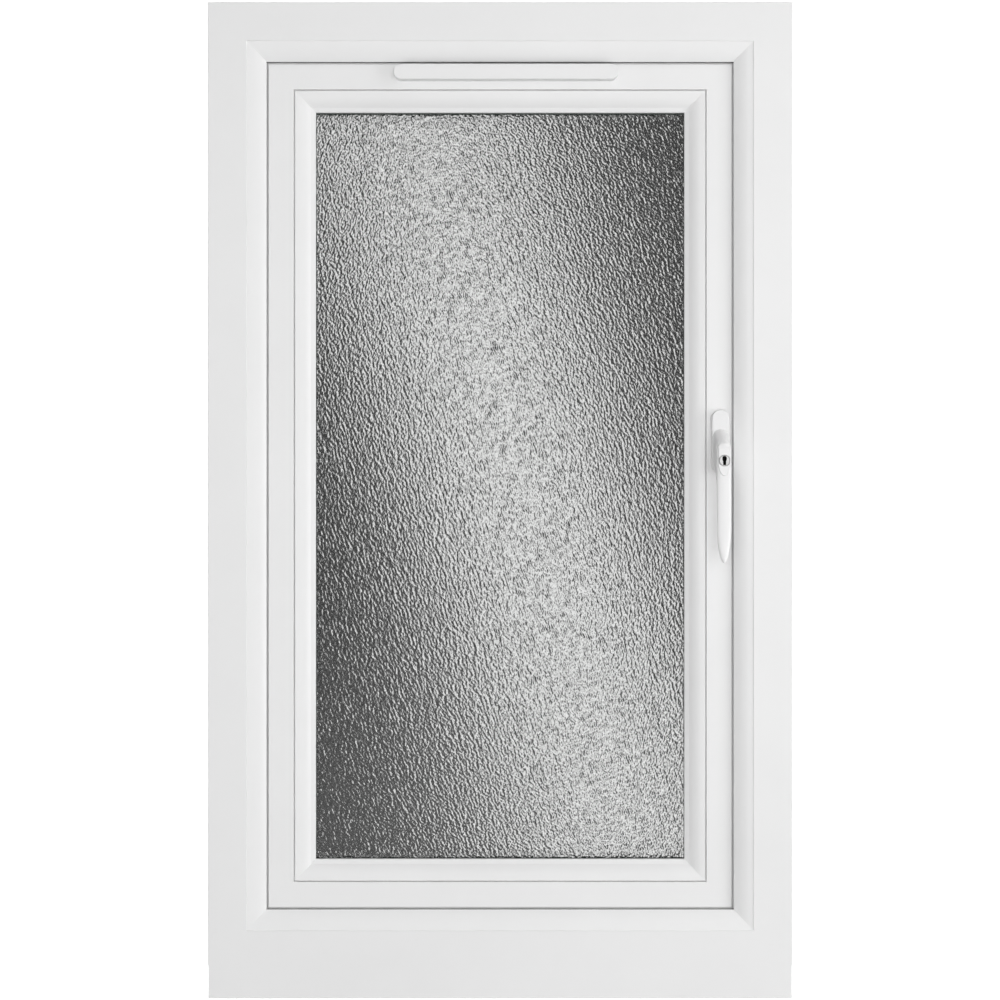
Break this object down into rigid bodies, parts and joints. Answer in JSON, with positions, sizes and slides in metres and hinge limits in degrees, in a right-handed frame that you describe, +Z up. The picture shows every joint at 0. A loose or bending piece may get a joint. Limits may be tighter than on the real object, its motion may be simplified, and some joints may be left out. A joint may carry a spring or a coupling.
{
  "type": "side-hung window",
  "caption": "White plastic side-hung casement window on a stub cill, with textured obscure double glazing, clip-in ovolo beads, a trickle vent and a locking lever handle that turns.",
  "frame": {"origin": "centre of the cill's flat underside, where the window rests on the wall", "axes": "+Z up, -Y towards the room, +Y outdoors, +X to the right as seen from the room, towards the handle"},
  "size_m": [0.61, 0.1227, 1.04],
  "materials": {
    "frame_plastic": "smooth satin-gloss white",
    "sash_plastic": "smooth satin-gloss white",
    "bead_plastic": "smooth satin-gloss white",
    "cill_plastic": "smooth satin-gloss white",
    "vent_plastic": "fine moulded white",
    "obscure_glass": "rolled with short slanting ripples",
    "clear_glass": "clear float glass",
    "spacer_metal": "bright, perforated",
    "gasket_rubber": "matt",
    "handle_paint": "white powder coat, satin",
    "lock_metal": "satin, dark key slot"
  },
  "bodies": {
    "root": {"frame_head": "frame_plastic", "frame_bottom": "frame_plastic", "frame_jamb_left": "frame_plastic", "frame_jamb_right": "frame_plastic", "sash_top_rail": "sash_plastic", "sash_bottom_rail": "sash_plastic", "sash_stile_left": "sash_plastic", "sash_stile_right": "sash_plastic", "bead_top": "bead_plastic", "bead_bottom": "bead_plastic", "bead_left": "bead_plastic", "bead_right": "bead_plastic", "glass_inner_pane": "obscure_glass", "glass_outer_pane": "clear_glass", "glass_spacer": "spacer_metal", "glazing_gasket_inner": "gasket_rubber", "glazing_gasket_outer": "gasket_rubber", "frame_seal_inner": "gasket_rubber", "frame_seal_outer": "gasket_rubber", "cill": "cill_plastic", "cill_end_cap_left": "cill_plastic", "cill_end_cap_right": "cill_plastic", "vent_cover": "vent_plastic", "vent_canopy": "vent_plastic", "handle_base": "handle_paint"},
    "lever": {"handle_lever": "handle_paint", "lock_barrel": "lock_metal"}
  },
  "joints": [
    {"name": "handle_turn", "type": "hinge", "parent": "root", "child": "lever", "pos_m": [0.2308, -0.039, 0.5862], "axis": [0, 1, 0], "range_deg": [0, 90]}
  ]
}
